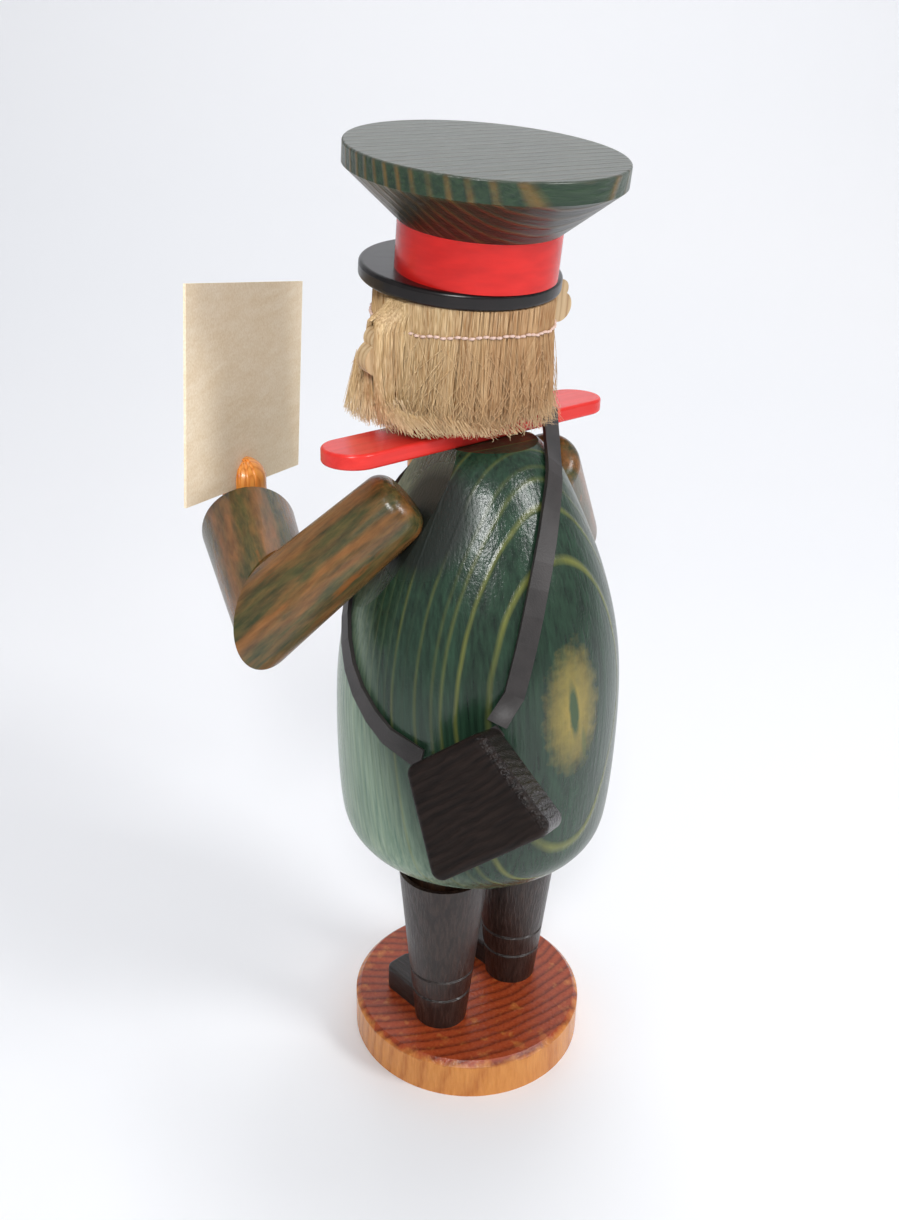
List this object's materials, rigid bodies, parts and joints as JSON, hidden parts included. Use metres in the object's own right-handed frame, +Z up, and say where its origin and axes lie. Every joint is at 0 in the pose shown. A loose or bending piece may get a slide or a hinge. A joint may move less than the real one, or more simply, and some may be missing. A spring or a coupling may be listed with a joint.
{
  "type": "incense smoker",
  "caption": "Turned wooden incense smoker: a messenger with letter, shoulder bag and wide cap, hollow body on a plug with a cone tray.",
  "frame": {"origin": "middle of the underside of the round base", "axes": "+Z up; the figure looks along -Y; its left arm, with the letter, is on +X"},
  "size_m": [0.1158, 0.1227, 0.2269],
  "materials": {
    "stained_pine": "red-brown stain on top, pale pine round the side",
    "dark_boot": "dark brown stain, semi-gloss varnish",
    "brown_stain": "dark brown stain, varnish",
    "raw_beech": "plain turned wood",
    "tray_brass": "pressed sheet, dulled by smoke",
    "nail_steel": "plain nail",
    "green_stain": "dark green stain over a yellow grain, gloss varnish",
    "green_brown_stain": "mottled green and brown stain, gloss varnish",
    "red_stain": "red stain, gloss varnish",
    "orange_varnish": "orange varnish over plain wood",
    "tan_wood": "plain tan wood",
    "flax": "combed natural fibre",
    "thread": "fine thread",
    "black_lacquer": "black gloss lacquer",
    "cap_green": "grey-green stain, gloss varnish",
    "dark_leather": "dark strap leather",
    "card": null
  },
  "bodies": {
    "stand": {"base_disc": "stained_pine", "boot_left": "dark_boot", "boot_right": "dark_boot", "ankle_dowels": "raw_beech", "shoe_left": "dark_boot", "shoe_right": "dark_boot", "leg_left": "brown_stain", "leg_right": "brown_stain", "floor_plug": "raw_beech", "cone_tray": "tray_brass", "tray_nail": "nail_steel"},
    "figure": {"body_shell": "green_stain", "collar": "red_stain", "neck_tube": "raw_beech", "upper_arm_left": "green_brown_stain", "upper_arm_right": "green_brown_stain", "forearm_left": "green_brown_stain", "forearm_right": "green_brown_stain", "shoulder_dowels": "raw_beech", "elbow_dowels": "raw_beech", "hand_left": "orange_varnish", "hand_right": "orange_varnish", "head": "orange_varnish", "nose": "orange_varnish", "ear_left": "tan_wood", "ear_right": "tan_wood", "hair": "flax", "hair_thread": "thread", "cap_brim": "black_lacquer", "cap_band": "red_stain", "cap_crown": "cap_green", "cap_dowel": "raw_beech", "strap": "dark_leather"},
    "letter": {"letter": "card"},
    "satchel": {"satchel": "brown_stain", "strap_tabs": "dark_leather", "strap_pins": "nail_steel"}
  },
  "joints": [
    {"name": "body_lift", "type": "slide", "parent": "stand", "child": "figure", "axis": [0, 0, 1], "range_m": [0, 0.05]},
    {"name": "satchel_swing", "type": "hinge", "parent": "figure", "child": "satchel", "pos_m": [0.02737, 0.0224, 0.10621], "axis": [0.5267, -0.643, -0.5561], "range_deg": [-10, 25]},
    {"name": "letter_slide", "type": "slide", "parent": "figure", "child": "letter", "axis": [-0.1173, -0.0716, 0.9905], "range_m": [0, 0.012]}
  ]
}
